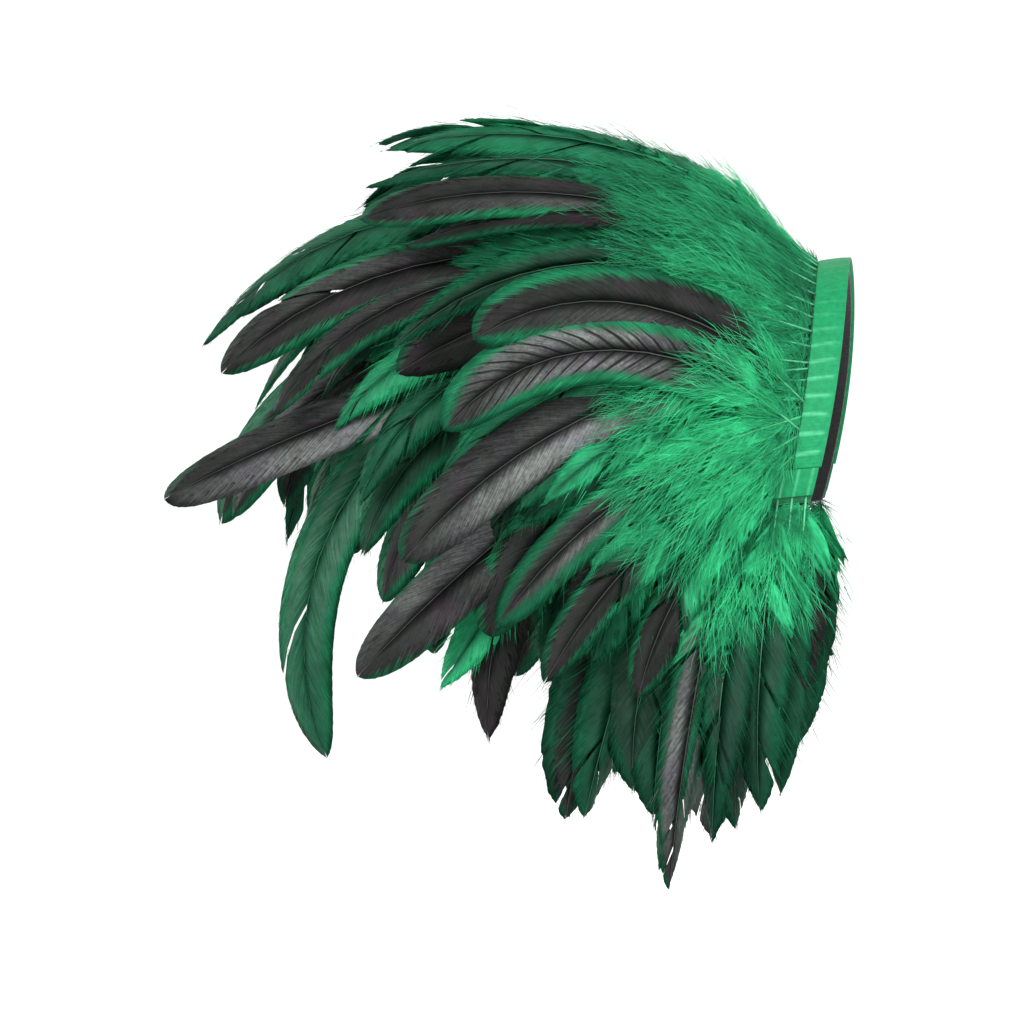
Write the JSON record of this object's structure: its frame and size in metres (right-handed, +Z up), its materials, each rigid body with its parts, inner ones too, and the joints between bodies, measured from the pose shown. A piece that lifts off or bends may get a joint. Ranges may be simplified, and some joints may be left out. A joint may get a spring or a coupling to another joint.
{
  "type": "feather epaulette",
  "caption": "Feather epaulette for one shoulder: an arched felt cap carrying layered rows of dyed green and bronze-black rooster feathers, with ribbon-bound edges and a pin.",
  "frame": {"origin": "top of the shoulder, on the underside of the felt cap at the middle of its length", "axes": "+Z up, +X towards the neck, -X out along the arm, -Y to the wearer's front"},
  "size_m": [0.2502, 0.2578, 0.2912],
  "materials": {
    "felt": "matt black felt",
    "green_feather": "dyed green feather with downy base",
    "bronze_feather": "glossy bronze-black feather with dyed green base",
    "ribbon": "green satin ribbon",
    "pin_steel": "plain nickelled steel"
  },
  "bodies": {
    "root": {"felt_cap": "felt", "neck_fringe": "green_feather", "middle_fringe": "bronze_feather", "cap_fringe": "bronze_feather", "front_fringe": "green_feather", "back_fringe": "green_feather", "neck_ribbon": "ribbon", "front_ribbon": "ribbon", "back_ribbon": "ribbon", "pin_bar": "pin_steel"}
  },
  "joints": []
}
